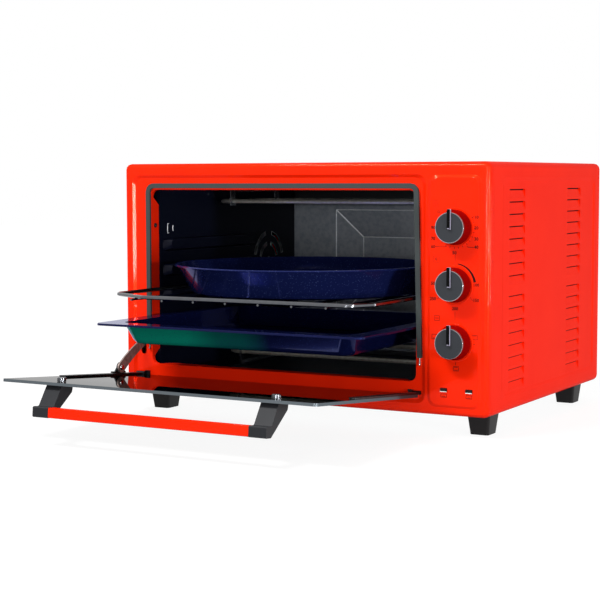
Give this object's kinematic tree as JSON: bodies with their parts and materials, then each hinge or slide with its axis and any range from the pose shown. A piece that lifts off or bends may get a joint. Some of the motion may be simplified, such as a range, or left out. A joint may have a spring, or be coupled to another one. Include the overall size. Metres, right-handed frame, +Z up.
{
  "type": "countertop electric oven",
  "caption": "Countertop electric oven, door open, with a drop-down glass door, control knobs, fan, wire rack, baking tray and round dish.",
  "frame": {"origin": "on the worktop below the middle of the whole object as pictured, so at the centre of the bounding box's base", "axes": "+X to the right seen from the front, +Y to the back, +Z up; the door opens towards -Y"},
  "size_m": [0.585, 0.7772, 0.37],
  "materials": {
    "body_paint": "glossy orange-red baked enamel paint on pressed steel",
    "bar_paint": "glossy red painted metal tube",
    "plated_steel": "zinc-plated steel sheet, dull",
    "hinge_steel": "dark pressed steel",
    "arm_steel": "brownish grey pressed steel, smooth",
    "bright_steel": "bright nickel-plated steel",
    "rack_wire": "chrome-plated steel wire",
    "heater_sheath": "stainless heater sheath, satin",
    "cavity_enamel": "dark vitreous enamel on steel, glossy",
    "ware_enamel": "dark blue speckled vitreous enamel, glossy",
    "door_glass": "dark tempered glass, polished",
    "gasket": "grey-green braided glass-fibre seal",
    "black_plastic": "dark grey moulded phenolic, satin",
    "knob_plastic": "red moulded plastic, semi-gloss",
    "knob_face": "dark grey lacquered face with a bright turned edge",
    "lamp_lens": "dark red clear lens",
    "control_moulding": "off-white moulded thermoset"
  },
  "bodies": {
    "cabinet": {"front_frame": "body_paint", "outer_cover": "body_paint", "base_plate": "plated_steel", "rear_cover": "plated_steel", "cable_gland": "black_plastic", "foot_front_left": "black_plastic", "foot_front_right": "black_plastic", "foot_rear_left": "black_plastic", "foot_rear_right": "black_plastic", "door_gasket": "gasket", "gasket_hook_left": "bright_steel", "gasket_hook_right": "bright_steel", "hinge_lug_left": "hinge_steel", "hinge_lug_right": "hinge_steel", "cavity_left_wall": "cavity_enamel", "cavity_right_wall": "cavity_enamel", "cavity_ceiling": "cavity_enamel", "cavity_floor": "cavity_enamel", "cavity_back": "cavity_enamel", "upper_heater": "heater_sheath", "lower_heater": "heater_sheath", "upper_heater_clip": "bright_steel", "lower_heater_clip": "bright_steel", "convection_motor": "hinge_steel", "control_chassis": "plated_steel", "timer_unit": "plated_steel", "thermostat_unit": "control_moulding", "mode_switch_unit": "control_moulding", "terminal_block": "control_moulding", "pilot_lamp_left": "lamp_lens", "pilot_lamp_right": "lamp_lens"},
    "door": {"door_glass": "door_glass", "hinge_bar_left": "hinge_steel", "hinge_bar_right": "hinge_steel", "arm_ear": "hinge_steel", "arm_rivet": "bright_steel", "handle_bracket_left": "black_plastic", "handle_bracket_right": "black_plastic", "handle_bush_left": "bright_steel", "handle_bush_right": "bright_steel", "handle_bar": "bar_paint"},
    "arm": {"door_arm": "arm_steel"},
    "rack": {"wire_rack": "rack_wire", "round_dish": "ware_enamel"},
    "tray": {"baking_tray": "ware_enamel"},
    "timer_control": {"timer_shaft": "bright_steel", "timer_knob": "knob_plastic", "timer_knob_cap": "knob_face"},
    "thermostat_control": {"thermostat_shaft": "bright_steel", "thermostat_knob": "knob_plastic", "thermostat_knob_cap": "knob_face"},
    "mode_control": {"mode_shaft": "bright_steel", "mode_knob": "knob_plastic", "mode_knob_cap": "knob_face"},
    "fan": {"fan_wheel": "plated_steel"}
  },
  "joints": [
    {"name": "door_hinge", "type": "hinge", "parent": "cabinet", "child": "door", "pos_m": [-0.045, -0.07374, 0.0589], "axis": [-1, 0, 0], "range_deg": [0, 85]},
    {"name": "arm_pivot", "type": "hinge", "parent": "door", "child": "arm", "pos_m": [-0.26345, -0.12544, 0.07256], "axis": [-1, 0, 0], "range_deg": [-66, 0]},
    {"name": "rack_slide", "type": "slide", "parent": "cabinet", "child": "rack", "axis": [0, 1, 0], "range_m": [0, 0.15]},
    {"name": "tray_slide", "type": "slide", "parent": "cabinet", "child": "tray", "axis": [0, 1, 0], "range_m": [0, 0.19]},
    {"name": "timer_turn", "type": "hinge", "parent": "cabinet", "child": "timer_control", "pos_m": [0.2445, -0.08364, 0.283], "axis": [0, 1, 0], "range_deg": [0, 300]},
    {"name": "thermostat_turn", "type": "hinge", "parent": "cabinet", "child": "thermostat_control", "pos_m": [0.2445, -0.08364, 0.2063], "axis": [0, 1, 0], "range_deg": [0, 270]},
    {"name": "mode_turn", "type": "hinge", "parent": "cabinet", "child": "mode_control", "pos_m": [0.2445, -0.08364, 0.1296], "axis": [0, 1, 0], "range_deg": [0, 270]},
    {"name": "fan_spin", "type": "hinge", "parent": "cabinet", "child": "fan", "pos_m": [-0.258, 0.27136, 0.213], "axis": [1, 0, 0], "continuous": true}
  ],
  "couplings": [
    {"joint": "arm_pivot", "follows": "door_hinge", "ratio": -0.77},
    {"joint": "rack_slide", "follows": "door_hinge", "m_per_rad": 0.1},
    {"joint": "tray_slide", "follows": "door_hinge", "m_per_rad": 0.128}
  ]
}
